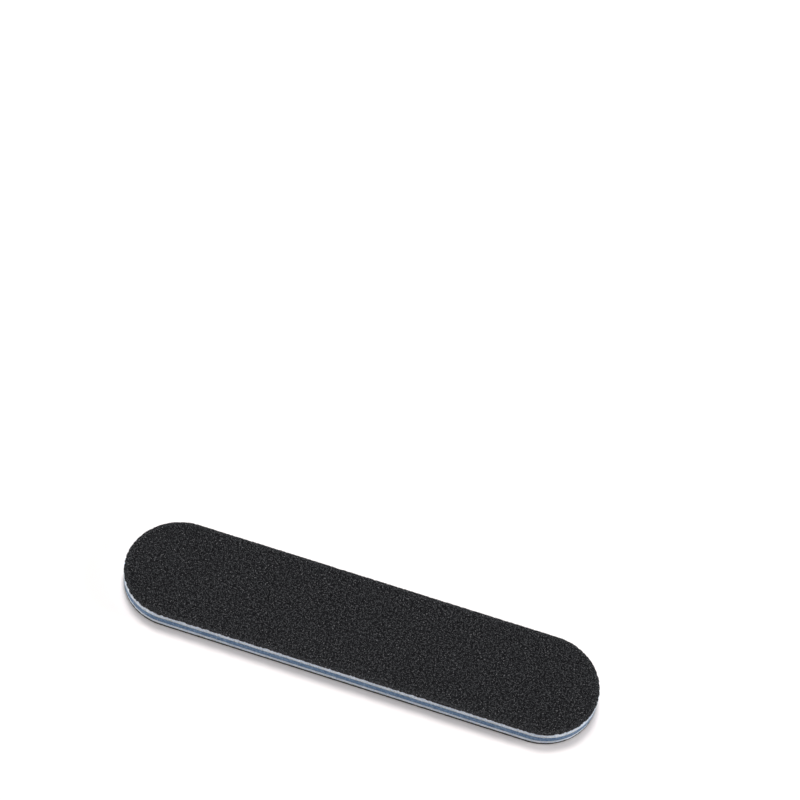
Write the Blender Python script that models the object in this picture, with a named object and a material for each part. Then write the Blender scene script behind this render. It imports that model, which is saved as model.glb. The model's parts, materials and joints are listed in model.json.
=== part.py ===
"""Mini nail file: a die-cut laminate with full-radius ends and an abrasive face on both sides.

A blue plastic core board lies between two white foam cushions. Each cushion carries a sheet of
coated abrasive, which is a black paper backing under a black grit coat, and thin adhesive films
bond every layer to the next one.

Metres, +Z up. X runs along the file, Y across it. The origin is the centre of the lower face,
on which the file rests.
"""

from math import cos, pi, sin

import bmesh
import bpy

# Plan outline that the cutting die leaves
FILE_LENGTH = 0.0900
FILE_WIDTH = 0.0205

# Layers, from the middle of the file outwards
CORE_THICKNESS = 0.00132
FOAM_THICKNESS = 0.00081
ADHESIVE_THICKNESS = 0.00004
BACKING_THICKNESS = 0.00018
COARSE_COAT_THICKNESS = 0.00015
FINE_COAT_THICKNESS = 0.00009

# Hairline that keeps two bonded faces from being one and the same face
BOND_GAP = 0.00001

# The die comes in from the upper face, so it rolls the rim of that face down the most
UPPER_ROLL_DEPTH = 0.00010
UPPER_ROLL_WIDTH = 0.00090
LOWER_ROLL_DEPTH = 0.00005
LOWER_ROLL_WIDTH = 0.00040

# Cut edges of the layers
CORE_EDGE_EASE = 0.00006
FOAM_WAIST_DEPTH = 0.00015
ADHESIVE_SETBACK = 0.00005

# Facets
END_ARC_STEPS = 32
ROLL_STEPS = 3
WAIST_STEPS = 4
CREASE_ANGLE = pi / 6

# Principled settings as (colour, roughness)
CORE_BLUE = ("#5E95CC", 0.45)
FOAM_WHITE = ("#F1F4F6", 0.85)
ADHESIVE_CLEAR = ("#D8D9CE", 0.30)
BACKING_BLACK = ("#211F20", 0.80)
GRIT_BLACK = ("#2C2C2E", 0.62)


def linear_colour(hex_text):
    """The scene-linear colour of an sRGB hex value."""
    channels = [int(hex_text[i : i + 2], 16) / 255 for i in (1, 3, 5)]
    return [c / 12.92 if c <= 0.04045 else ((c + 0.055) / 1.055) ** 2.4 for c in channels] + [1.0]


def make_material(name, finish):
    hex_text, roughness = finish
    material = bpy.data.materials.new(name)
    material.use_nodes = True
    shader = material.node_tree.nodes["Principled BSDF"]
    shader.inputs["Base Color"].default_value = linear_colour(hex_text)
    shader.inputs["Roughness"].default_value = roughness
    shader.inputs["Metallic"].default_value = 0.0
    material.diffuse_color = linear_colour(hex_text)
    return material


def outline_ring(inset, height):
    """The file's outline moved in by inset: two half circles joined by straight sides."""
    radius = FILE_WIDTH / 2 - inset
    arc_centre = (FILE_LENGTH - FILE_WIDTH) / 2
    ring = []
    for side in (1, -1):
        for step in range(END_ARC_STEPS + 1):
            angle = pi * step / END_ARC_STEPS - pi / 2
            ring.append((side * (arc_centre + radius * cos(angle)), side * radius * sin(angle), height))
    return ring


def loft_outline(mesh_name, rings):
    """A closed mesh through outline rings, given as (inset, height) from the bottom face to the top."""
    shell = bmesh.new()
    loops = [[shell.verts.new(point) for point in outline_ring(*ring)] for ring in rings]
    for below, above in zip(loops, loops[1:]):
        for i, (start, end) in enumerate(zip(below, below[1:] + below[:1])):
            following = (i + 1) % len(above)
            shell.faces.new((start, end, above[following], above[i]))
    shell.faces.new(reversed(loops[0]))
    shell.faces.new(loops[-1])
    bmesh.ops.recalc_face_normals(shell, faces=shell.faces)
    mesh = bpy.data.meshes.new(mesh_name)
    shell.to_mesh(mesh)
    shell.free()
    mesh.shade_smooth()
    mesh.set_sharp_from_angle(angle=CREASE_ANGLE)
    return mesh


class Side:
    """One half of the laminate, built outwards from the core, towards +Z or -Z."""

    def __init__(self, name, direction, roll_depth, roll_width):
        self.name = name
        self.direction = direction
        self.roll_depth = roll_depth
        self.roll_width = roll_width
        self.reach = CORE_THICKNESS / 2

    def flat_face(self, level, setback):
        return [(setback, level)]

    def rolled_face(self, level, setback):
        """Rings of a face that the die has rolled towards the core, from its flat middle to its rim."""
        rings = []
        for step in range(ROLL_STEPS + 1):
            inset = max(self.roll_width * (1 - step / ROLL_STEPS), setback)
            rim_share = 1 - inset / self.roll_width
            rings.append((inset, level - self.roll_depth * rim_share**2))
        return rings

    def add_layer(self, piece, thickness, finish, inner_face, outer_face, waist=0.0, setback=0.0):
        """The next layer outwards, bonded on the last one. Heights run from the layer's inner face."""
        self.reach += BOND_GAP
        inner = inner_face(0.0, setback)
        outer = outer_face(thickness, setback)
        rings = inner + waisted_edge(inner[-1], outer[-1], waist) + outer[::-1]
        if self.direction < 0:
            rings = [(inset, -height) for inset, height in reversed(rings)]
        add_piece(f"{self.name}_{piece}", rings, self.direction * self.reach, finish)
        self.reach += thickness


def waisted_edge(foot, rim, depth):
    """Rings between a layer's two rims that draw in by depth at mid-height, or none where depth is zero."""
    if not depth:
        return []
    shares = [step / WAIST_STEPS for step in range(1, WAIST_STEPS)]
    rise = rim[1] - foot[1]
    return [(foot[0] + depth * sin(pi * share), foot[1] + rise * share) for share in shares]


def add_piece(name, rings, height, finish):
    piece = bpy.data.objects.new(name, loft_outline(name, rings))
    piece.data.materials.append(make_material(name, finish))
    piece.location.z = height
    piece.parent = laminate_centre
    bpy.context.scene.collection.objects.link(piece)


def add_core_board():
    """The stiff board in the middle, with the corners that the die has eased."""
    half = CORE_THICKNESS / 2
    rings = [
        (CORE_EDGE_EASE, -half),
        (0.0, CORE_EDGE_EASE - half),
        (0.0, half - CORE_EDGE_EASE),
        (CORE_EDGE_EASE, half),
    ]
    add_piece("core_board", rings, 0.0, CORE_BLUE)


def add_cushion(side):
    """The foam, glued to the core. Its outer face follows the die's roll and its cut edge draws in."""
    side.add_layer(
        "core_adhesive",
        ADHESIVE_THICKNESS,
        ADHESIVE_CLEAR,
        side.flat_face,
        side.flat_face,
        setback=ADHESIVE_SETBACK,
    )
    side.add_layer(
        "cushion_foam",
        FOAM_THICKNESS,
        FOAM_WHITE,
        side.flat_face,
        side.rolled_face,
        waist=FOAM_WAIST_DEPTH,
    )


def add_abrasive_sheet(side, coat, coat_thickness):
    """The coated abrasive on the foam: adhesive film, paper backing and grit coat, all rolled alike."""
    side.add_layer(
        "sheet_adhesive",
        ADHESIVE_THICKNESS,
        ADHESIVE_CLEAR,
        side.rolled_face,
        side.rolled_face,
        setback=ADHESIVE_SETBACK,
    )
    side.add_layer("paper_backing", BACKING_THICKNESS, BACKING_BLACK, side.rolled_face, side.rolled_face)
    side.add_layer(coat, coat_thickness, GRIT_BLACK, side.rolled_face, side.rolled_face)


for old_object in list(bpy.data.objects):
    bpy.data.objects.remove(old_object, do_unlink=True)

laminate_centre = bpy.data.objects.new("laminate_centre", None)
laminate_centre.empty_display_size = FILE_WIDTH
bpy.context.scene.collection.objects.link(laminate_centre)

add_core_board()

upper = Side("upper", 1, UPPER_ROLL_DEPTH, UPPER_ROLL_WIDTH)
add_cushion(upper)
add_abrasive_sheet(upper, "coarse_grit_coat", COARSE_COAT_THICKNESS)

lower = Side("lower", -1, LOWER_ROLL_DEPTH, LOWER_ROLL_WIDTH)
add_cushion(lower)
add_abrasive_sheet(lower, "fine_grit_coat", FINE_COAT_THICKNESS)

# The lower grit coat's flat face is the ground plane
laminate_centre.location.z = lower.reach
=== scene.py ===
"""Looks of a mini nail file, a die-cut laminate of board, foam and coated abrasive.

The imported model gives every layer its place. Here the foam gets its cut cells, the board and the
papers their cut edges, and each abrasive face a resin bed with thousands of separate grains.

Metres, +Z up. X runs along the file, Y across it, and it lies on its fine face at Z = 0.
"""

import json
from math import cos, pi, radians, sin

import bmesh
import bpy
import numpy as np
from mathutils import Matrix, Vector, noise
from mathutils.geometry import delaunay_2d_cdt

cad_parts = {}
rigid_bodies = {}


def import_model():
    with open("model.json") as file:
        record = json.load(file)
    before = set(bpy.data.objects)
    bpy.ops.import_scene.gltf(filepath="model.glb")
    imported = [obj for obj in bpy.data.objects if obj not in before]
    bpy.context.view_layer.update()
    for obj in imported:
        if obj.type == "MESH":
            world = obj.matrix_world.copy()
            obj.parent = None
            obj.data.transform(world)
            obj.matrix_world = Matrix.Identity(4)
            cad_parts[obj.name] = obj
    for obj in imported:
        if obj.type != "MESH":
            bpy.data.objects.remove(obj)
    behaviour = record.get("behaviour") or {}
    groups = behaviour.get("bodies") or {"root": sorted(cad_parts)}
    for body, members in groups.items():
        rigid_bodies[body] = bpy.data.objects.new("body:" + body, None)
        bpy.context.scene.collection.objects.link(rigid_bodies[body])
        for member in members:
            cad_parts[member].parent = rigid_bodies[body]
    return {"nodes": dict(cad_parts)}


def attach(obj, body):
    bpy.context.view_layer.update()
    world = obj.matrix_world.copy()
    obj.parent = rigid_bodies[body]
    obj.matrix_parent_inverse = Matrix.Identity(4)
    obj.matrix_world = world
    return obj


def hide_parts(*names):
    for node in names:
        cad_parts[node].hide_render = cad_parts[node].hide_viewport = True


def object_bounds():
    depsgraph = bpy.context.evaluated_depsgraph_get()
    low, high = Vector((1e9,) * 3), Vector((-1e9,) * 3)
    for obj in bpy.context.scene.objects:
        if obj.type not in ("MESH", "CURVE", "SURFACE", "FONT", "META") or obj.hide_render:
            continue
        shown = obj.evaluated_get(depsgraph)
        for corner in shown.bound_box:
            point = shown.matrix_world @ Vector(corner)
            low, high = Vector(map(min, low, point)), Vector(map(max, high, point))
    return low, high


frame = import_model()
CAD_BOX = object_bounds()

MM = 0.001

# The file's outline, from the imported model: two half circles joined by straight sides
FILE_TOP = CAD_BOX[1].z
END_RADIUS = (CAD_BOX[1].y - CAD_BOX[0].y) / 2
END_CENTRE = (CAD_BOX[1].x - CAD_BOX[0].x) / 2 - END_RADIUS
OUTLINE_LENGTH = 4 * END_CENTRE + 2 * pi * END_RADIUS

# Camera, fitted to the file's outline in the photograph. Turn, tilt and roll are those of a camera
# that looks along the file's width, and the offsets place the centre of the upper face.
CAMERA_LENS_MM = 105.0
CAMERA_TURN = radians(10.15)
CAMERA_TILT = radians(54.14)
CAMERA_ROLL = radians(8.67)
FILE_LEFT_OF_AXIS = 7.197 * MM
FILE_BELOW_AXIS = 40.892 * MM
FILE_AHEAD = 422.858 * MM

# Floor. The camera sees it lifted by a glow, which grows between these distances from the file's
# centre.
FLOOR_REACH = 2.0
FLOOR_COLOUR = "#F4EEED"
FLOOR_GLOW_NEAR = 0.070
FLOOR_GLOW_FAR = 0.90
FLOOR_GLOW_FROM = 0.035
FLOOR_GLOW_TO = 0.60

# Light. The softbox hangs over the file, a little behind it, so that the near edge lies in soft
# shade. A weak lamp straight above opens the shadow, and two more stand low beside the ends. A lamp
# is given as its turn to the right of straight ahead, its height over the floor as an angle, and
# its watts.
SKY_LEVEL = 0.226
LAMP_SIZE = 0.25
LAMP_DISTANCE = 0.70
LAMPS = {
    "softbox": (radians(-9.3), radians(68.2), 3.36),
    "overhead": (0.0, radians(90.0), 0.45),
    "left_fill": (radians(-90.0), radians(20.0), 1.25),
    "right_fill": (radians(90.0), radians(20.0), 2.07),
}

# Foam. Its setbacks are how far inside the outline it is cut at the core and at the abrasive sheet,
# and how much further at mid-height. A cell's centre lies outside or inside the cut, by shares of
# the cell's radius. The size of lumps, here and below, is given along the edge and up it.
FOAM_STEP = 0.070 * MM
FOAM_SETBACKS = {
    "upper": (0.00 * MM, 0.00 * MM, 0.12 * MM),
    "lower": (0.02 * MM, 0.09 * MM, 0.00 * MM),
}
FOAM_CELL_PITCH = 0.21 * MM
FOAM_CELL_LEAST = 0.07 * MM
FOAM_CELL_MOST = 0.15 * MM
FOAM_CELL_OFFSET_SHARES = (-0.6, 0.2)
FOAM_RIPPLE = 0.055 * MM
FOAM_RIPPLE_LUMP = (0.60 * MM, 0.50 * MM)

# Board. The tear is full over the lowest part of the edge and fades out above it.
BOARD_STEP = 0.110 * MM
BOARD_STREAK = 0.018 * MM
BOARD_STREAK_LUMP = (0.25 * MM, 1.20 * MM)
BOARD_TEAR = 0.020 * MM
BOARD_TEAR_LUMP = (0.35 * MM, 0.25 * MM)
BOARD_TEAR_SHARE = 1.3
BOARD_TEAR_FADE = 1.6
BOARD_CORNER_SHARE = 0.3

# Abrasive sheets, each a paper with its coat. The foam has sprung out past them at both ends of the
# file, which leaves them short.
SHEET_STEP = 0.100 * MM
SHEET_TEAR = 0.030 * MM
PAPER_LUMP = (0.20 * MM, 0.20 * MM)
COAT_LUMP = (0.30 * MM, 0.30 * MM)
SHEET_SHORTFALL = 0.09 * MM

# Small bites that the blade has taken out of a sheet's rim, paper and coat together. It was sharper
# on the far side of the file, where the bites reach only this share of their depth.
BITES = {"upper": 0.16 * MM, "lower": 0.02 * MM}
BITE_LENGTH = 0.26 * MM
CLEAN_SIDE_SHARE = 0.45

# Adhesive films
FILM_STEP = 0.200 * MM
FILM_SETBACK = 0.020 * MM
FILM_LUMP = (0.80 * MM, 0.80 * MM)

# How the edges of the foams and the board wander along the file
SWAY = 0.030 * MM
SWAY_LUMP = (3.5 * MM, 3.5 * MM)

# Meshes. The upper and the under face of a layer have rings from the rim to this depth, or to where
# the roll ends, and are flat inside them, apart from a bed's.
SAME_PLACE = 0.003 * MM
FACE_RINGS = 3
FACE_DEPTH = 0.55 * MM
CREASE_ANGLE = radians(50)

# Resin beds, which take this share of a coat's thickness and rise and fall a little
BED_SHARE = 0.55
BED_RINGS = 6
BED_FILL_STEP = 0.60 * MM
BED_UNEVENNESS = 0.006 * MM
BED_SWELL = 2.5 * MM

# Abrasive faces. Real grains are 0.14 mm across on the coarse face and 0.08 mm on the fine one, and
# both are drawn larger, so that single grains show. The map shares are the bed's.
ABRASIVE_FACES = {
    "coarse": {
        "side": "upper",
        "up": 1.0,
        "spacing": 0.197 * MM,
        "radii": (0.132 * MM, 0.186 * MM),
        "map_shares": (0.65, 0.05),
    },
    "fine": {
        "side": "lower",
        "up": -1.0,
        "spacing": 0.176 * MM,
        "radii": (0.115 * MM, 0.160 * MM),
        "map_shares": (0.05, 0.65),
    },
}

# Moulds of grains, with a radius and a height of about 1. A mould has rings of corners, given as
# their number, their least and most distance from the axis, and their least and most height.
# Corners drift round the axis by up to this share of their pitch.
GRAIN_MOULDS = 14
GRAIN_CORNER_RINGS = (
    (4, 0.70, 1.00, -0.35, -0.35),
    (3, 0.35, 0.80, 0.50, 0.95),
    (1, 0.00, 0.45, 1.00, 1.00),
)
GRAIN_CORNER_DRIFT = 0.3

# Strewing. Grains lie on faces whose normal's upward part is at least this, from so many tries in a
# square of their spacing, and stand out of the bed by these shares of the coat that is left.
GROUND_LOOKS_UP = 0.7
STREWING_TRIES = 4.0
GRAIN_STAND_SHARES = (0.55, 1.0)

# Pale and dark grains are mixed evenly: their mean over this reach is taken out, on a grid of these
# cells, with a margin that keeps one end of the file from mixing with the other
MIX_REACH = 0.35 * MM
MIX_CELL = 0.05 * MM
MIX_MARGIN = 4 * MIX_REACH

# Grains along the rim are paler, by up to this share, which puts more of them among the painted glints
EDGE_WEAR_WIDTH = 0.90 * MM
EDGE_WEAR = 0.42

# Seeds of whatever is random
BOARD_SEEDS = {"streaks": 10, "tear": 11, "sway": 12}
SIDE_SEEDS = {
    "upper": {"ripple": 20, "cells": 21, "sway": 22, "paper": 23, "films": 25, "bites": 16, "coat": 41},
    "lower": {"ripple": 30, "cells": 31, "sway": 32, "paper": 33, "films": 35, "bites": 2, "coat": 39},
}
GRAIN_SEEDS = {"places": 7, "tone_and_glint": 1, "turn": 2, "radius": 3, "stand": 4}

# The map of this name is for baking a piece's colours. The upper and the under face are laid out flat
# in it, in shares of its height, and a wall goes into it as strips, one above the other.
BAKE_MAP = "OFBake"
MAP_STRIPS = 16
MAP_FILL = 0.9
WALL_PIECE_SHARES = (0.05, 0.05)


def linear(hex_text):
    """The scene-linear colour of an sRGB hex value."""
    channels = [int(hex_text[i : i + 2], 16) / 255 for i in (1, 3, 5)]
    return [c / 12.92 if c <= 0.04045 else ((c + 0.055) / 1.055) ** 2.4 for c in channels] + [1.0]


def per_metre(millimetres):
    """The scale of a pattern on Object coordinates whose features are this large."""
    return 1000.0 / millimetres


def add(tree, kind, inputs=None, **settings):
    """Adds a node. Inputs are values, or sockets to link from; settings are the node's own."""
    node = tree.nodes.new(kind)
    for name, value in settings.items():
        setattr(node, name, value)
    for socket, value in (inputs or {}).items():
        if isinstance(value, bpy.types.NodeSocket):
            tree.links.new(value, node.inputs[socket])
        else:
            node.inputs[socket].default_value = value
    return node


def new_material(name):
    """A material with its node tree, its Principled node and Object coordinates."""
    material = bpy.data.materials.new(name)
    material.use_nodes = True
    tree = material.node_tree
    place = add(tree, "ShaderNodeTexCoord").outputs["Object"]
    return material, tree, tree.nodes["Principled BSDF"], place


def set_colour_stops(ramp, stops):
    """Colours of a ramp, as (position, hex value)."""
    elements = ramp.color_ramp.elements
    while len(elements) < len(stops):
        elements.new(1.0)
    for element, (position, hex_text) in zip(elements, stops):
        element.position = position
        element.color = linear(hex_text)


# Camera, light and floor


def level_axes():
    """The photographer's level directions, to the right and ahead."""
    right = Vector((cos(CAMERA_TURN), sin(CAMERA_TURN), 0))
    ahead = Vector((-sin(CAMERA_TURN), cos(CAMERA_TURN), 0))
    return right, ahead


def add_camera():
    level, ahead = level_axes()
    gaze = ahead * cos(CAMERA_TILT) - Vector((0, 0, sin(CAMERA_TILT)))
    upright = ahead * sin(CAMERA_TILT) + Vector((0, 0, cos(CAMERA_TILT)))
    right = level * cos(CAMERA_ROLL) + upright * sin(CAMERA_ROLL)
    up = upright * cos(CAMERA_ROLL) - level * sin(CAMERA_ROLL)
    face_centre = Vector((0, 0, FILE_TOP))
    place = face_centre + right * FILE_LEFT_OF_AXIS + up * FILE_BELOW_AXIS - gaze * FILE_AHEAD

    camera = bpy.data.objects.new("camera", bpy.data.cameras.new("camera"))
    camera.data.lens = CAMERA_LENS_MM
    camera.data.clip_start = FILE_AHEAD / 10
    camera.data.clip_end = FLOOR_REACH * 4
    turn = Matrix((right, up, -gaze)).transposed()
    camera.matrix_world = Matrix.Translation(place) @ turn.to_4x4()
    bpy.context.scene.collection.objects.link(camera)
    bpy.context.scene.camera = camera


def add_lamp(name, turn, height, watts):
    """A round soft lamp that looks at the middle of the file."""
    right, ahead = level_axes()
    away = (right * sin(turn) + ahead * cos(turn)) * cos(height) + Vector((0, 0, sin(height)))
    lamp = bpy.data.objects.new(name, bpy.data.lights.new(name, "AREA"))
    lamp.data.shape = "DISK"
    lamp.data.size = LAMP_SIZE
    lamp.data.energy = watts
    lamp.location = away * LAMP_DISTANCE
    lamp.rotation_mode = "QUATERNION"
    lamp.rotation_quaternion = away.to_track_quat("Z", "Y")
    bpy.context.scene.collection.objects.link(lamp)


def add_sky():
    """Even white light from all round, and white where the camera looks past the floor."""
    world = bpy.data.worlds.new("studio")
    bpy.context.scene.world = world
    world.use_nodes = True
    tree = world.node_tree
    rays = add(tree, "ShaderNodeLightPath")
    seen = add(
        tree,
        "ShaderNodeMath",
        {0: rays.outputs["Is Camera Ray"], 1: rays.outputs["Is Glossy Ray"]},
        operation="MAXIMUM",
    )
    seen_through = add(
        tree,
        "ShaderNodeMath",
        {0: seen.outputs[0], 1: rays.outputs["Is Transmission Ray"]},
        operation="MAXIMUM",
    )
    level = add(
        tree,
        "ShaderNodeMapRange",
        {"Value": seen_through.outputs[0], "To Min": SKY_LEVEL, "To Max": 1.0},
    )
    background = tree.nodes["Background"]
    background.inputs["Color"].default_value = linear("#FFFFFF")
    tree.links.new(level.outputs["Result"], background.inputs["Strength"])


def add_floor():
    """A pale floor that takes the shadow. What the camera sees of it is lifted to white, a little
    near the file and more and more away from it."""
    bm = bmesh.new()
    bmesh.ops.create_grid(bm, x_segments=2, y_segments=2, size=FLOOR_REACH)
    mesh = bpy.data.meshes.new("floor")
    bm.to_mesh(mesh)
    bm.free()
    floor = bpy.data.objects.new("floor", mesh)
    bpy.context.scene.collection.objects.link(floor)

    material = bpy.data.materials.new("floor_paper")
    material.use_nodes = True
    tree = material.node_tree
    shader = tree.nodes["Principled BSDF"]
    shader.inputs["Base Color"].default_value = linear(FLOOR_COLOUR)
    shader.inputs["Roughness"].default_value = 1.0
    shader.inputs["Specular IOR Level"].default_value = 0.0
    shader.inputs["Emission Color"].default_value = linear("#FFFFFF")
    place = add(tree, "ShaderNodeTexCoord").outputs["Object"]
    away = add(tree, "ShaderNodeVectorMath", {0: place}, operation="LENGTH")
    glow = add(
        tree,
        "ShaderNodeMapRange",
        {
            "Value": away.outputs["Value"],
            "From Min": FLOOR_GLOW_FROM,
            "From Max": FLOOR_GLOW_TO,
            "To Min": FLOOR_GLOW_NEAR,
            "To Max": FLOOR_GLOW_FAR,
        },
    )
    rays = add(tree, "ShaderNodeLightPath")
    lift = add(
        tree,
        "ShaderNodeMath",
        {0: rays.outputs["Is Camera Ray"], 1: glow.outputs["Result"]},
        operation="MULTIPLY",
    )
    tree.links.new(lift.outputs[0], shader.inputs["Emission Strength"])
    mesh.materials.append(material)


# Finishes


def core_board_material():
    """High-impact polystyrene board, dyed blue and die-cut: the blade leaves it matt, with pale stress
    marks and short upright streaks on the cut."""
    material, tree, shader, place = new_material("blue polystyrene, die-cut")
    marks = add(tree, "ShaderNodeTexNoise", {"Vector": place, "Scale": per_metre(0.45), "Detail": 4.0})
    streak_space = add(tree, "ShaderNodeMapping", {"Vector": place, "Scale": (1.0, 1.0, 0.22)})
    streaks = add(
        tree,
        "ShaderNodeTexNoise",
        {"Vector": streak_space.outputs[0], "Scale": per_metre(0.14), "Detail": 2.0},
    )
    both = add(
        tree,
        "ShaderNodeMix",
        {"Factor": 0.45, "A": marks.outputs["Fac"], "B": streaks.outputs["Fac"]},
    )
    ramp = add(tree, "ShaderNodeValToRGB", {"Fac": both.outputs["Result"]})
    # A darker, greyer blue than the board's clean dyed blue: in part painted shade, the look of its cut
    # edge in shade
    set_colour_stops(ramp, [(0.37, "#4A6485"), (0.50, "#5F7C9C"), (0.63, "#8AA1BC")])
    tree.links.new(ramp.outputs["Color"], shader.inputs["Base Color"])
    rough = add(
        tree, "ShaderNodeMapRange", {"Value": both.outputs["Result"], "To Min": 0.42, "To Max": 0.62}
    )
    tree.links.new(rough.outputs["Result"], shader.inputs["Roughness"])
    bump = add(
        tree,
        "ShaderNodeBump",
        {"Height": streaks.outputs["Fac"], "Strength": 0.5, "Distance": 0.02 * MM},
    )
    tree.links.new(bump.outputs["Normal"], shader.inputs["Normal"])
    shader.inputs["IOR"].default_value = 1.55
    shader.inputs["Specular IOR Level"].default_value = 0.12
    return material


def foam_material():
    """White cross-linked polyethylene foam, sliced: matt and mottled, with painted shade in the hollows of
    its cut cells and a painted blue cast.
    """
    material, tree, shader, place = new_material("white polyethylene foam, cut")
    cells = add(
        tree, "ShaderNodeTexVoronoi", {"Vector": place, "Scale": per_metre(0.20)}, feature="F1"
    )
    mottle = add(tree, "ShaderNodeTexNoise", {"Vector": place, "Scale": per_metre(0.6), "Detail": 3.0})
    both = add(
        tree,
        "ShaderNodeMix",
        {"Factor": 0.5, "A": cells.outputs["Distance"], "B": mottle.outputs["Fac"]},
    )
    ramp = add(tree, "ShaderNodeValToRGB", {"Fac": both.outputs["Result"]})
    # Bluish white, darker towards each cell's middle: the blue tint is a painted cast, as the foam looks in
    # shade beside the blue board, and the darker middles are painted shade in the cells' hollows
    set_colour_stops(ramp, [(0.28, "#CAD6E8"), (0.45, "#E3EEFD"), (0.62, "#F4F9FF")])
    tree.links.new(ramp.outputs["Color"], shader.inputs["Base Color"])
    rough = add(
        tree, "ShaderNodeMapRange", {"Value": mottle.outputs["Fac"], "To Min": 0.75, "To Max": 0.95}
    )
    tree.links.new(rough.outputs["Result"], shader.inputs["Roughness"])
    bump = add(
        tree,
        "ShaderNodeBump",
        {"Height": cells.outputs["Distance"], "Strength": 0.4, "Distance": 0.02 * MM},
    )
    tree.links.new(bump.outputs["Normal"], shader.inputs["Normal"])
    shader.inputs["IOR"].default_value = 1.5
    shader.inputs["Specular IOR Level"].default_value = 0.25
    return material


def adhesive_material():
    """Clear acrylic film adhesive, slightly milky at its cut edge."""
    material, tree, shader, place = new_material("acrylic film adhesive")
    cloud = add(tree, "ShaderNodeTexNoise", {"Vector": place, "Scale": per_metre(0.5), "Detail": 2.0})
    ramp = add(tree, "ShaderNodeValToRGB", {"Fac": cloud.outputs["Fac"]})
    set_colour_stops(ramp, [(0.3, "#CFD2CB"), (0.7, "#E2E3DC")])
    tree.links.new(ramp.outputs["Color"], shader.inputs["Base Color"])
    shader.inputs["Roughness"].default_value = 0.30
    shader.inputs["IOR"].default_value = 1.47
    return material


def paper_material():
    """Black latex-saturated kraft paper: matt fibres, greyer where the blade has torn them."""
    material, tree, shader, place = new_material("black latex paper")
    fibre_space = add(tree, "ShaderNodeMapping", {"Vector": place, "Scale": (0.25, 1.0, 1.0)})
    fibres = add(
        tree,
        "ShaderNodeTexNoise",
        {"Vector": fibre_space.outputs[0], "Scale": per_metre(0.07), "Detail": 3.0},
    )
    ramp = add(tree, "ShaderNodeValToRGB", {"Fac": fibres.outputs["Fac"]})
    set_colour_stops(ramp, [(0.35, "#262526"), (0.58, "#413E3F"), (0.78, "#787270")])
    tree.links.new(ramp.outputs["Color"], shader.inputs["Base Color"])
    shader.inputs["Roughness"].default_value = 0.85
    shader.inputs["Specular IOR Level"].default_value = 0.3
    bump = add(
        tree,
        "ShaderNodeBump",
        {"Height": fibres.outputs["Fac"], "Strength": 0.6, "Distance": 0.02 * MM},
    )
    tree.links.new(bump.outputs["Normal"], shader.inputs["Normal"])
    return material


def resin_material():
    """Black phenolic size coat between the grains: smoother than they are, with a dull gloss."""
    material, tree, shader, place = new_material("black phenolic resin")
    pools = add(tree, "ShaderNodeTexNoise", {"Vector": place, "Scale": per_metre(0.9), "Detail": 4.0})
    ramp = add(tree, "ShaderNodeValToRGB", {"Fac": pools.outputs["Fac"]})
    set_colour_stops(ramp, [(0.35, "#0D0D0F"), (0.65, "#18181A")])
    tree.links.new(ramp.outputs["Color"], shader.inputs["Base Color"])
    rough = add(
        tree, "ShaderNodeMapRange", {"Value": pools.outputs["Fac"], "To Min": 0.5, "To Max": 0.75}
    )
    tree.links.new(rough.outputs["Result"], shader.inputs["Roughness"])
    shader.inputs["Specular IOR Level"].default_value = 0.02
    return material


def grain_material():
    """Black silicon carbide under a thin dark size coat. Each grain has its own tone and gloss: partly its
    own colour, partly a painted glint, which the palest grains show.
    """
    material, tree, shader, place = new_material("black silicon carbide grain")
    tone_and_glint = add(tree, "ShaderNodeAttribute", attribute_name="grain_shade").outputs["Fac"]
    dust = add(tree, "ShaderNodeTexNoise", {"Vector": place, "Scale": per_metre(0.10), "Detail": 2.0})
    blend = add(tree, "ShaderNodeMix", {"Factor": 0.12, "A": tone_and_glint, "B": dust.outputs["Fac"]})
    ramp = add(tree, "ShaderNodeValToRGB", {"Fac": blend.outputs["Result"]})
    # Grain tones from dark to pale; the palest stops are painted glints
    tones_and_glints = [
        (0.06, "#0A0A0C"),
        (0.28, "#292A2C"),
        (0.70, "#434446"),
        (0.91, "#4F4F51"),
        (0.94, "#6E6E70"),
    ]
    set_colour_stops(ramp, tones_and_glints)
    tree.links.new(ramp.outputs["Color"], shader.inputs["Base Color"])
    rough = add(tree, "ShaderNodeMapRange", {"Value": tone_and_glint, "To Min": 0.60, "To Max": 0.35})
    tree.links.new(rough.outputs["Result"], shader.inputs["Roughness"])
    shader.inputs["Specular IOR Level"].default_value = 0.02
    return material


# Layers


def insets_of(points):
    """How far points lie inside the file's outline."""
    along = np.clip(points[:, 0], -END_CENTRE, END_CENTRE)
    return END_RADIUS - np.hypot(points[:, 0] - along, points[:, 1])


def outline_run(count):
    """For each column round the file's outline, the point on its long axis that it looks away from,
    and the angle at which it does."""
    run = np.arange(count) * OUTLINE_LENGTH / count
    straight, arc = 2 * END_CENTRE, pi * END_RADIUS
    legs = np.array([0, straight, straight + arc, 2 * straight + arc])
    leg = np.searchsorted(legs, run, side="right") - 1
    past = run - legs[leg]
    foot = np.choose(leg, [past - END_CENTRE, END_CENTRE, END_CENTRE - past, -END_CENTRE])
    angle = np.choose(leg, [-pi / 2, past / END_RADIUS - pi / 2, pi / 2, past / END_RADIUS + pi / 2])
    return foot, angle


def outline_points(inset, count):
    """The file's outline moved in by inset, which may differ from point to point, as (x, y) rows."""
    foot, angle = outline_run(count)
    reach = END_RADIUS - inset
    return np.stack([foot + reach * np.cos(angle), reach * np.sin(angle)], axis=1)


def shortfall(count):
    """How far inside the file's outline the abrasive sheets end, for each column."""
    angle = outline_run(count)[1]
    return SHEET_SHORTFALL * np.abs(np.cos(angle))


def column_count(step):
    """Columns round the outline, this far apart, that fill whole strips of the map."""
    return round(OUTLINE_LENGTH / step / MAP_STRIPS) * MAP_STRIPS


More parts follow.
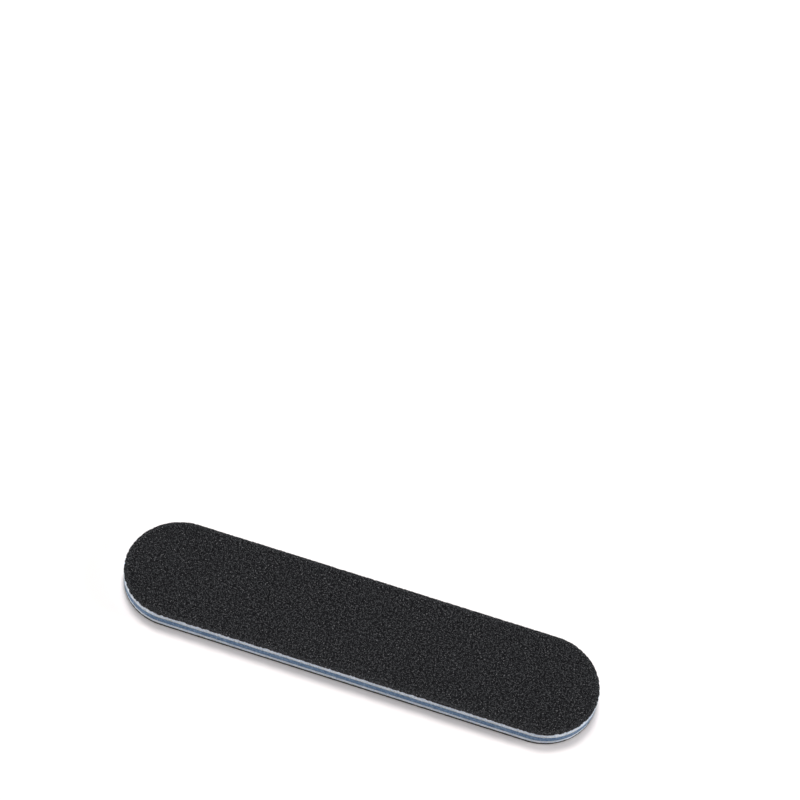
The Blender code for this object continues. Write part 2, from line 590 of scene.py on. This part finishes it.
class Face:
    """One face of a layer: its height in the middle, and how the die has rolled its rim."""

    def __init__(self, middle, roll, roll_width):
        self.middle = middle
        self.roll = roll
        self.roll_width = roll_width

    def height(self, inset):
        share = np.clip(1 - inset / self.roll_width, 0, 1)
        return self.middle + self.roll * share**2


class Layer:
    """A layer of the file, from its under face to its upper face."""

    def __init__(self, under, over):
        self.under = under
        self.over = over

    def height_at(self, share, inset):
        """The height at this share of the way from the under face to the upper one."""
        return self.under.height(inset) * (1 - share) + self.over.height(inset) * share

    def face_at(self, share):
        """The face at this share of the way from the under face to the upper one."""
        middle = self.under.middle * (1 - share) + self.over.middle * share
        roll = self.under.roll * (1 - share) + self.over.roll * share
        return Face(middle, roll, self.under.roll_width)

    def rim_height(self):
        return float(self.height_at(1, 0.0) - self.height_at(0, 0.0))

    def row_count(self, step):
        return max(2, round(self.rim_height() / step)) + 1


def packed_face(rim, edge, middle, roll_width):
    """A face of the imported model, from the height of its rim, which lies edge inside the outline, and
    the height of its middle."""
    roll = 0.0
    if abs(rim - middle) > SAME_PLACE:
        roll = (rim - middle) / (1 - edge / roll_width) ** 2
    return Face(middle, roll, roll_width)


def packed_layer(node):
    """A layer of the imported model, from the corners of its rim and of its innermost ring."""
    points = np.array([corner.co for corner in frame["nodes"][node].data.vertices])
    insets, heights = insets_of(points), points[:, 2]
    edge, deep = insets.min(), insets.max()
    rim = heights[insets < edge + SAME_PLACE]
    rims = (rim.min(), rim.max())
    inner = heights[insets > deep - SAME_PLACE]
    middles = [inner.min(), inner.max()]
    if middles[1] - middles[0] < SAME_PLACE:
        # Only a rolled face reaches so far in, and the other is as high in its middle as at its rim
        flat = 0 if abs(middles[0] - rims[0]) > abs(middles[1] - rims[1]) else 1
        middles[flat] = rims[flat]
    return Layer(*(packed_face(rims[i], edge, middles[i], deep) for i in (0, 1)))


def wall_noise(shape, height, lump, seed):
    """Smooth noise over a wall, closed round the outline, with lumps of this size and a spread of 1."""
    rows, columns = shape
    lump_along, lump_up = lump
    # Taller than the wall, so that the noise at its top need not meet that at its foot
    tall = rows * 4
    rough = np.random.default_rng(seed).standard_normal((tall, columns))
    up = np.fft.fftfreq(tall)[:, None] * lump_up * (rows - 1) / height
    along = np.fft.rfftfreq(columns)[None, :] * lump_along * columns / OUTLINE_LENGTH
    soften = np.exp(-(pi**2) / 2 * (up**2 + along**2))
    smooth = np.fft.irfft2(np.fft.rfft2(rough) * soften, s=(tall, columns))
    return (smooth[:rows] - smooth.mean()) / smooth.std()


def inward(lumps, depth, mean=0.5, spread=0.35):
    """Noise as a way into the edge, from nothing to this depth, with its mean and spread as shares."""
    return depth * np.clip(mean + spread * lumps, 0, 1)


def swaying(shape, height, seed):
    """How a whole layer's edge wanders along the file."""
    return inward(wall_noise(shape, height, SWAY_LUMP, seed), SWAY)


def bites(side, count):
    """How far a sheet's rim is bitten back, for each column: in places by the whole depth, mostly by
    little."""
    lump = (BITE_LENGTH, BITE_LENGTH)
    lumps = wall_noise((2, count), BITE_LENGTH, lump, SIDE_SEEDS[side]["bites"])[0]
    angle = outline_run(count)[1]
    nearness = (1 - np.sin(angle)) / 2
    bluntness = CLEAN_SIDE_SHARE + (1 - CLEAN_SIDE_SHARE) * nearness
    return inward(lumps, BITES[side] * bluntness, mean=0.20, spread=0.45)


def foam_cells(shape, height, seed):
    """How deep the blade has opened the foam's round cells, all over a wall."""
    rows, columns = shape
    step_up, step_along = height / (rows - 1), OUTLINE_LENGTH / columns
    random = np.random.default_rng(seed)
    number = round(OUTLINE_LENGTH * height / FOAM_CELL_PITCH**2)
    depth = np.zeros(shape)
    for _ in range(number):
        run, rise = random.uniform(0, OUTLINE_LENGTH), random.uniform(0, height)
        radius = random.uniform(FOAM_CELL_LEAST, FOAM_CELL_MOST)
        sunk = radius * random.uniform(*FOAM_CELL_OFFSET_SHARES)
        near_columns = np.arange(int((run - radius) / step_along), int((run + radius) / step_along) + 2)
        near_rows = np.arange(max(0, int((rise - radius) / step_up)), int((rise + radius) / step_up) + 2)
        near_rows = near_rows[near_rows < rows]
        away_up = near_rows[:, None] * step_up - rise
        away = radius**2 - away_up**2 - (near_columns[None, :] * step_along - run) ** 2
        opened = sunk + np.sqrt(np.clip(away, 0, None))
        patch = np.ix_(near_rows, near_columns % columns)
        depth[patch] = np.maximum(depth[patch], np.where(away > 0, opened, 0))
    return depth


class Shell:
    """A closed mesh in the making, with a map that lays each of its faces out flat."""

    def __init__(self, map_shares):
        over_share, under_share = map_shares
        self.points = np.zeros((0, 3))
        self.faces = []
        self.places = []
        self.over_band = (0.0, over_share)
        self.under_band = (over_share, over_share + under_share)
        self.wall_band = (over_share + under_share, 1.0)

    def add_points(self, flat, heights):
        start = len(self.points)
        new = np.column_stack([flat, np.broadcast_to(heights, len(flat))])
        self.points = np.concatenate([self.points, new])
        return np.arange(start, len(self.points))

    def add_faces(self, corners, places):
        self.faces.extend(corners.tolist())
        self.places.append(places)

    def add_flat_faces(self, corners, is_over):
        """Faces of the upper or the under face, mapped as seen from above."""
        corners = corners if is_over else corners[:, ::-1]
        band = self.over_band if is_over else self.under_band
        points = self.points[corners.ravel()]
        across = (points[:, 0] - CAD_BOX[0].x) / (CAD_BOX[1].x - CAD_BOX[0].x)
        up = (points[:, 1] - CAD_BOX[0].y) / (CAD_BOX[1].y - CAD_BOX[0].y) * MAP_FILL
        self.add_faces(corners, np.stack([across, band[0] + (band[1] - band[0]) * up], axis=1))

    def add_wall(self, rings):
        columns = len(rings[0])
        strip = np.arange(columns) * MAP_STRIPS // columns
        start = np.arange(columns) * MAP_STRIPS / columns - strip
        across = start[:, None] + np.array([0, 1, 1, 0]) * MAP_STRIPS / columns
        low, high = self.wall_band
        for row, (below, above) in enumerate(zip(rings, rings[1:])):
            corners = np.stack([below, np.roll(below, -1), np.roll(above, -1), above], axis=1)
            rise = np.array([row, row, row + 1, row + 1]) / (len(rings) - 1) * MAP_FILL
            up = low + (high - low) * (strip[:, None] + rise) / MAP_STRIPS
            self.add_faces(corners, np.stack([across.ravel(), up.ravel()], axis=1))

    def add_face(self, rim, rim_inset, face, is_over, rings, fill_step):
        """Closes the shell with its upper or under face, from the rim to the middle."""
        deep = max(face.roll_width, FACE_DEPTH)
        outer = rim
        for ring in range(1, rings + 1):
            inset = rim_inset + (deep - rim_inset) * ring / rings
            inner = self.add_points(outline_points(inset, len(rim)), face.height(inset))
            corners = [outer, np.roll(outer, -1), np.roll(inner, -1), inner]
            self.add_flat_faces(np.stack(corners, axis=1), is_over)
            outer = inner
        if fill_step:
            self.add_flat_faces(self.fill(outer, face.middle, deep, fill_step), is_over)
        else:
            self.add_flat_faces(outer[None, :], is_over)

    def fill(self, border, middle, deep, step):
        """Triangles inside a border, over a grid of points that rise and fall a little."""
        reach = END_CENTRE + END_RADIUS
        places = []
        for number, y in enumerate(np.arange(-END_RADIUS, END_RADIUS, step * sin(pi / 3))):
            shift = step / 2 * (number % 2)
            places.extend((x + shift, y) for x in np.arange(-reach, reach, step))
        places = np.array(places)
        places = places[insets_of(places) > deep + step / 2]
        flat = np.concatenate([self.points[border][:, :2], places])
        cut = delaunay_2d_cdt([Vector(p) for p in flat], [], [range(len(border))], 1, SAME_PLACE / 10)
        triangles, sources = cut[2:4]
        swell = np.array([noise.noise(Vector((x, y, middle)) / BED_SWELL) for x, y in places])
        own = np.concatenate([border, self.add_points(places, middle + BED_UNEVENNESS * swell)])
        return np.array([[own[sources[corner][0]] for corner in triangle] for triangle in triangles])

    def to_mesh(self, name):
        mesh = bpy.data.meshes.new(name)
        mesh.from_pydata(self.points, [], self.faces)
        places = mesh.uv_layers.new(name=BAKE_MAP)
        places.data.foreach_set("uv", np.concatenate(self.places).astype(np.float32).ravel())
        mesh.shade_smooth()
        mesh.set_sharp_from_angle(angle=CREASE_ANGLE)
        return mesh


def add_piece(mesh, finish, node):
    """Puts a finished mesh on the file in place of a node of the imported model."""
    piece = bpy.data.objects.new(mesh.name, mesh)
    bpy.context.scene.collection.objects.link(piece)
    mesh.materials.clear()
    mesh.materials.append(finish)
    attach(piece, "root")
    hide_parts(node)
    return piece


def layer_mesh(
    name, layer, edge, map_shares=WALL_PIECE_SHARES, rings=(FACE_RINGS, FACE_RINGS), fills=(0, 0)
):
    """A layer with the given edge: rows of insets from its under face up to its upper face. rings and
    fills are for the under face and the upper face."""
    shell = Shell(map_shares)
    shares = np.linspace(0, 1, len(edge))
    wall = []
    for share, inset in zip(shares, edge):
        wall.append(shell.add_points(outline_points(inset, len(inset)), layer.height_at(share, inset)))
    shell.add_wall(wall)
    shell.add_face(wall[0], edge[0], layer.under, False, rings[0], fills[0])
    shell.add_face(wall[-1], edge[-1], layer.over, True, rings[1], fills[1])
    return shell.to_mesh(name)


def edge_grid(layer, step):
    """The rows and columns of an edge's grid of insets, and the edge's height."""
    return (layer.row_count(step), column_count(step)), layer.rim_height()


def row_shares(shape):
    """How far up the edge each row of its grid lies."""
    return np.linspace(0, 1, shape[0])[:, None]


def foam_edge(layer, side):
    """The foam springs back after the cut, so its edge is drawn in. The blade has opened its cells."""
    shape, height = edge_grid(layer, FOAM_STEP)
    rise = row_shares(shape)
    seeds = SIDE_SEEDS[side]
    at_core, at_sheet, waist = FOAM_SETBACKS[side]
    foot, rim = (at_core, at_sheet) if side == "upper" else (at_sheet, at_core)
    drawn_in = foot + (rim - foot) * rise + waist * np.sin(pi * rise)
    ripple = inward(wall_noise(shape, height, FOAM_RIPPLE_LUMP, seeds["ripple"]), FOAM_RIPPLE)
    cells = foam_cells(shape, height, seeds["cells"])
    return drawn_in + ripple + cells + swaying(shape, height, seeds["sway"])


def board_edge(layer):
    """The blade shears the board's upper half smooth, with upright streaks, and tears the lower half."""
    shape, height = edge_grid(layer, BOARD_STEP)
    streaks = wall_noise(shape, height, BOARD_STREAK_LUMP, BOARD_SEEDS["streaks"])
    tear = wall_noise(shape, height, BOARD_TEAR_LUMP, BOARD_SEEDS["tear"])
    torn = inward(tear, BOARD_TEAR) * np.clip(BOARD_TEAR_SHARE - BOARD_TEAR_FADE * row_shares(shape), 0, 1)
    return inward(streaks, BOARD_STREAK) + torn + swaying(shape, height, BOARD_SEEDS["sway"])


def sheet_edge(layer, side, lump, seed):
    """The rough edge of a paper or a coat that the blade has torn through."""
    shape, height = edge_grid(layer, SHEET_STEP)
    tear = wall_noise(shape, height, lump, seed)
    return inward(tear, SHEET_TEAR) + bites(side, shape[1]) + shortfall(shape[1])


def film_edge(layer, setback, seed):
    """A film's edge, pulled back a little further than the foam that it holds."""
    shape, height = edge_grid(layer, FILM_STEP)
    return setback + inward(wall_noise(shape, height, FILM_LUMP, seed), FILM_SETBACK)


# Grains


def grain_moulds():
    """Angular grains, each the hull of a few corners that stand at random."""
    moulds = bpy.data.collections.new("grain moulds")
    for number in range(GRAIN_MOULDS):
        random = np.random.default_rng(number)
        bm = bmesh.new()
        for corners, near, far, low, high in GRAIN_CORNER_RINGS:
            turn = random.uniform(0, 2 * pi)
            for corner in range(corners):
                drift = random.uniform(-GRAIN_CORNER_DRIFT, GRAIN_CORNER_DRIFT)
                angle = turn + 2 * pi / corners * (corner + drift)
                reach = random.uniform(near, far)
                bm.verts.new((reach * cos(angle), reach * sin(angle), random.uniform(low, high)))
        hull = bmesh.ops.convex_hull(bm, input=bm.verts)
        inside = {corner for corner in hull["geom_interior"] if isinstance(corner, bmesh.types.BMVert)}
        bmesh.ops.delete(bm, geom=list(inside), context="VERTS")
        bmesh.ops.recalc_face_normals(bm, faces=bm.faces)
        mesh = bpy.data.meshes.new("grain mould")
        bm.to_mesh(mesh)
        bm.free()
        moulds.objects.link(bpy.data.objects.new("grain mould", mesh))
    return moulds


GRAIN_INPUTS = {
    "Bed": "NodeSocketGeometry",
    "Up": "NodeSocketVector",
    "Spacing": "NodeSocketFloat",
    "Least Radius": "NodeSocketFloat",
    "Most Radius": "NodeSocketFloat",
    "Relief": "NodeSocketFloat",
    "From": "NodeSocketFloat",
    "To": "NodeSocketFloat",
    "Seed": "NodeSocketInt",
}


def random_number(tree, least, most, seed):
    """A number between two others, which stays with its grain."""
    node = add(tree, "FunctionNodeRandomValue", {2: least, 3: most, "Seed": seed}, data_type="FLOAT")
    return node.outputs[1]


def grain_tree(moulds, finish):
    """Strews grains over the bed's faces that look up, between two stations along the file."""
    tree = bpy.data.node_groups.new("strewn grains", "GeometryNodeTree")
    for name, kind in GRAIN_INPUTS.items():
        tree.interface.new_socket(name, in_out="INPUT", socket_type=kind)
    tree.interface.new_socket("Grains", in_out="OUTPUT", socket_type="NodeSocketGeometry")
    given = add(tree, "NodeGroupInput").outputs

    normal = add(tree, "GeometryNodeInputNormal").outputs[0]
    facing = add(tree, "ShaderNodeVectorMath", {0: normal, 1: given["Up"]}, operation="DOT_PRODUCT")
    looks_up = add(
        tree,
        "FunctionNodeCompare",
        {0: facing.outputs["Value"], 1: GROUND_LOOKS_UP},
        operation="GREATER_THAN",
    )
    ground = add(
        tree,
        "GeometryNodeSeparateGeometry",
        {"Geometry": given["Bed"], "Selection": looks_up.outputs[0]},
        domain="FACE",
    )
    square = add(tree, "ShaderNodeMath", {0: given["Spacing"], 1: given["Spacing"]}, operation="MULTIPLY")
    density = add(
        tree, "ShaderNodeMath", {0: STREWING_TRIES, 1: square.outputs[0]}, operation="DIVIDE"
    )
    strewn = add(
        tree,
        "GeometryNodeDistributePointsOnFaces",
        {
            "Mesh": ground.outputs["Selection"],
            "Distance Min": given["Spacing"],
            "Density Max": density.outputs[0],
            "Seed": given["Seed"],
        },
        distribute_method="POISSON",
    )
    place = add(tree, "GeometryNodeInputPosition").outputs[0]
    along = add(tree, "ShaderNodeSeparateXYZ", {0: place}).outputs["X"]
    past_start = add(tree, "FunctionNodeCompare", {0: along, 1: given["From"]}, operation="GREATER_EQUAL")
    before_end = add(tree, "FunctionNodeCompare", {0: along, 1: given["To"]}, operation="LESS_THAN")
    inside = add(
        tree,
        "FunctionNodeBooleanMath",
        {0: past_start.outputs[0], 1: before_end.outputs[0]},
        operation="AND",
    )
    kept = add(
        tree,
        "GeometryNodeSeparateGeometry",
        {"Geometry": strewn.outputs["Points"], "Selection": inside.outputs[0]},
        domain="POINT",
    )
    # Each grain's tone: partly its own colour, partly a painted glint
    tone_and_glint = random_number(tree, 0.0, 1.0, GRAIN_SEEDS["tone_and_glint"])
    with_tone_and_glint = add(
        tree,
        "GeometryNodeStoreNamedAttribute",
        {"Geometry": kept.outputs["Selection"], "Name": "grain_shade", "Value": tone_and_glint},
        data_type="FLOAT",
        domain="POINT",
    )
    turned = add(
        tree,
        "GeometryNodeStoreNamedAttribute",
        {"Geometry": with_tone_and_glint.outputs[0], "Name": "upright", "Value": strewn.outputs["Rotation"]},
        data_type="QUATERNION",
        domain="POINT",
    )
    upright = add(tree, "GeometryNodeInputNamedAttribute", {"Name": "upright"}, data_type="QUATERNION")
    turn = random_number(tree, 0.0, 2 * pi, GRAIN_SEEDS["turn"])
    spin = add(tree, "FunctionNodeAxisAngleToRotation", {"Axis": (0.0, 0.0, 1.0), "Angle": turn})
    rotation = add(
        tree,
        "FunctionNodeRotateRotation",
        {"Rotation": upright.outputs[0], "Rotate By": spin.outputs[0]},
        rotation_space="LOCAL",
    )
    radius = random_number(tree, given["Least Radius"], given["Most Radius"], GRAIN_SEEDS["radius"])
    stand_share = random_number(tree, *GRAIN_STAND_SHARES, GRAIN_SEEDS["stand"])
    stand = add(tree, "ShaderNodeMath", {0: given["Relief"], 1: stand_share}, operation="MULTIPLY")
    size = add(tree, "ShaderNodeCombineXYZ", {"X": radius, "Y": radius, "Z": stand.outputs[0]})
    shapes = add(tree, "GeometryNodeCollectionInfo", {"Separate Children": True, "Reset Children": True})
    shapes.inputs["Collection"].default_value = moulds
    grains = add(
        tree,
        "GeometryNodeInstanceOnPoints",
        {
            "Points": turned.outputs[0],
            "Instance": shapes.outputs[0],
            "Pick Instance": True,
            "Rotation": rotation.outputs[0],
            "Scale": size.outputs[0],
        },
    )
    real = add(tree, "GeometryNodeRealizeInstances", {"Geometry": grains.outputs[0]})
    coated = add(tree, "GeometryNodeSetMaterial", {"Geometry": real.outputs[0], "Material": finish})
    add(tree, "NodeGroupOutput", {"Grains": coated.outputs[0]})
    return tree


def strewn_mesh(name, tree, bed, sizes):
    """The grains on a bed as one plain mesh."""
    carrier = bpy.data.objects.new("grain carrier", bed)
    bpy.context.scene.collection.objects.link(carrier)
    modifier = carrier.modifiers.new("grains", "NODES")
    modifier.node_group = tree
    for socket in tree.interface.items_tree:
        if socket.name in sizes:
            modifier[socket.identifier] = sizes[socket.name]
    depsgraph = bpy.context.evaluated_depsgraph_get()
    mesh = bpy.data.meshes.new_from_object(carrier.evaluated_get(depsgraph), depsgraph=depsgraph)
    bpy.data.objects.remove(carrier, do_unlink=True)
    mesh.name = name
    return mesh


def run_of(points):
    """How far round the outline, from its first column, points look outwards."""
    x, y = points[:, 0], points[:, 1]
    straight, arc = 2 * END_CENTRE, pi * END_RADIUS
    right_turn = np.arctan2(y, x - END_CENTRE) + pi / 2
    left_turn = np.arctan2(-y, -x - END_CENTRE) + pi / 2
    along = np.where(y < 0, x + END_CENTRE, straight + arc + END_CENTRE - x)
    along = np.where(x > END_CENTRE, straight + right_turn * END_RADIUS, along)
    return np.where(x < -END_CENTRE, 2 * straight + arc + left_turn * END_RADIUS, along)


def mixed_evenly(tones_and_glints, points):
    """Grain tones, painted glints among them, dealt out anew over the same grains, so that pale or dark
    ones hardly lie together: from each grain's own tone goes the mean of those around it, and their order
    gives the new ones."""
    values, grain = np.unique(tones_and_glints, return_inverse=True)
    corners = np.bincount(grain)
    centres = np.stack([np.bincount(grain, points[:, axis]) / corners for axis in (0, 1)], axis=1)
    cells = ((centres - centres.min(axis=0)) / MIX_CELL).astype(int)
    here = tuple(cells.T)
    shape = tuple(cells.max(axis=0) + round(MIX_MARGIN / MIX_CELL))
    across, along = np.fft.fftfreq(shape[0])[:, None], np.fft.rfftfreq(shape[1])[None, :]
    soften = np.exp(-2 * (pi * MIX_REACH / MIX_CELL) ** 2 * (across**2 + along**2))
    around = []
    for weights in (values, np.ones(len(values))):
        spread = np.zeros(shape)
        np.add.at(spread, here, weights)
        around.append(np.fft.irfft2(np.fft.rfft2(spread) * soften, s=shape)[here])
    apart = values - around[0] / around[1]
    return (apart.argsort().argsort() / (len(apart) - 1))[grain]


def cut_grains(mesh, coat, bed_rim):
    """Cuts grains flush with the bed's rim and with the coat's face, as the die and wear do, and makes
    those along the rim paler, because they are broken there, which gives more of them the painted glint."""
    points = np.empty(len(mesh.vertices) * 3)
    mesh.vertices.foreach_get("co", points)
    points = points.reshape(-1, 3)
    along = np.clip(points[:, 0], -END_CENTRE, END_CENTRE)
    out = np.stack([points[:, 0] - along, points[:, 1]], axis=1)
    reach = np.maximum(np.hypot(out[:, 0], out[:, 1]), SAME_PLACE)
    columns = np.arange(len(bed_rim)) * OUTLINE_LENGTH / len(bed_rim)
    rim = END_RADIUS - np.interp(run_of(points), columns, bed_rim, period=OUTLINE_LENGTH)
    kept = np.minimum(1, rim / reach)
    points[:, 0] = along + out[:, 0] * kept
    points[:, 1] = out[:, 1] * kept
    inset = END_RADIUS - reach * kept
    points[:, 2] = np.clip(points[:, 2], coat.under.height(inset), coat.over.height(inset))
    mesh.vertices.foreach_set("co", points.ravel())

    tone_and_glint = mesh.attributes["grain_shade"].data
    tones_and_glints = np.empty(len(tone_and_glint))
    tone_and_glint.foreach_get("value", tones_and_glints)
    tones_and_glints = mixed_evenly(tones_and_glints, points)
    worn = EDGE_WEAR * np.clip(1 - (rim - reach * kept) / EDGE_WEAR_WIDTH, 0, 1)
    tone_and_glint.foreach_set("value", tones_and_glints + (1 - tones_and_glints) * worn)


def map_from_above(mesh):
    """Maps grains for the bake as they are seen from above."""
    points = np.empty(len(mesh.vertices) * 3)
    mesh.vertices.foreach_get("co", points)
    corners = np.empty(len(mesh.loops), dtype=np.int32)
    mesh.loops.foreach_get("vertex_index", corners)
    flat = points.reshape(-1, 3)[:, :2]
    low, high = flat.min(axis=0), flat.max(axis=0)
    places = mesh.uv_layers.new(name=BAKE_MAP)
    places.data.foreach_set("uv", ((flat - low) / (high - low))[corners].astype(np.float32).ravel())


# Pieces


def add_board():
    """The board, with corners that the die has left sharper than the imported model's."""
    board = packed_layer("core_board")
    board.under.roll *= BOARD_CORNER_SHARE
    board.over.roll *= BOARD_CORNER_SHARE
    mesh = layer_mesh("blue_board", board, board_edge(board))
    add_piece(mesh, core_board_material(), "core_board")


def add_cushion(side, foam):
    cushion = packed_layer(f"{side}_cushion_foam")
    mesh = layer_mesh(f"{side}_foam", cushion, foam_edge(cushion, side))
    add_piece(mesh, foam, f"{side}_cushion_foam")


def add_paper(side, paper):
    backing = packed_layer(f"{side}_paper_backing")
    edge = sheet_edge(backing, side, PAPER_LUMP, SIDE_SEEDS[side]["paper"])
    mesh = layer_mesh(f"{side}_paper", backing, edge)
    add_piece(mesh, paper, f"{side}_paper_backing")


def add_films(side, film):
    """The films on both faces of a foam. The one under the sheet keeps clear of the sheet's bites."""
    at_core, at_sheet, _ = FOAM_SETBACKS[side]
    under_sheet = at_sheet + BITES[side] + shortfall(column_count(FILM_STEP))
    for joint, setback in (("core", at_core), ("sheet", under_sheet)):
        glue = packed_layer(f"{side}_{joint}_adhesive")
        mesh = layer_mesh(f"{side}_{joint}_film", glue, film_edge(glue, setback, SIDE_SEEDS[side]["films"]))
        add_piece(mesh, film, f"{side}_{joint}_adhesive")


def add_abrasive_face(grit, face, moulds, resin, grain):
    """A resin bed and, in two pieces, the grains that stand in it."""
    side, on_top = face["side"], face["up"] > 0
    node, slot = f"{side}_{grit}_grit_coat", f"{grit}_grit"
    coat = packed_layer(node)
    bed_span = (0.0, BED_SHARE) if on_top else (1 - BED_SHARE, 1.0)
    bed = Layer(*(coat.face_at(share) for share in bed_span))
    edge = sheet_edge(bed, side, COAT_LUMP, SIDE_SEEDS[side]["coat"])
    rings = (FACE_RINGS, BED_RINGS) if on_top else (BED_RINGS, FACE_RINGS)
    fills = (0, BED_FILL_STEP) if on_top else (BED_FILL_STEP, 0)
    bed_mesh = layer_mesh(f"{grit}_resin_bed", bed, edge, face["map_shares"], rings, fills)
    add_piece(bed_mesh, resin, node)

    tree = grain_tree(moulds, grain)
    past_the_end = 2 * (END_CENTRE + END_RADIUS)
    for half, start, end in (("left", -past_the_end, 0.0), ("right", 0.0, past_the_end)):
        sizes = {
            "Up": (0.0, 0.0, face["up"]),
            "Spacing": face["spacing"],
            "Least Radius": face["radii"][0],
            "Most Radius": face["radii"][1],
            "Relief": coat.rim_height() * (1 - BED_SHARE),
            "From": start,
            "To": end,
            "Seed": GRAIN_SEEDS["places"],
        }
        grains = strewn_mesh(f"{grit}_grains_{half}", tree, bed_mesh, sizes)
        cut_grains(grains, coat, edge[-1] if on_top else edge[0])
        map_from_above(grains)
        add_piece(grains, grain, node)


bpy.context.scene.view_settings.view_transform = "Standard"
add_camera()
for name, lamp in LAMPS.items():
    add_lamp(name, *lamp)
add_sky()
add_floor()

add_board()
foam, film, paper = foam_material(), adhesive_material(), paper_material()
for side in ("upper", "lower"):
    add_cushion(side, foam)
    add_paper(side, paper)
    add_films(side, film)

moulds = grain_moulds()
resin, grain = resin_material(), grain_material()
for grit, face in ABRASIVE_FACES.items():
    add_abrasive_face(grit, face, moulds, resin, grain)
for mould in list(moulds.objects):
    bpy.data.objects.remove(mould, do_unlink=True)
bpy.data.collections.remove(moulds)
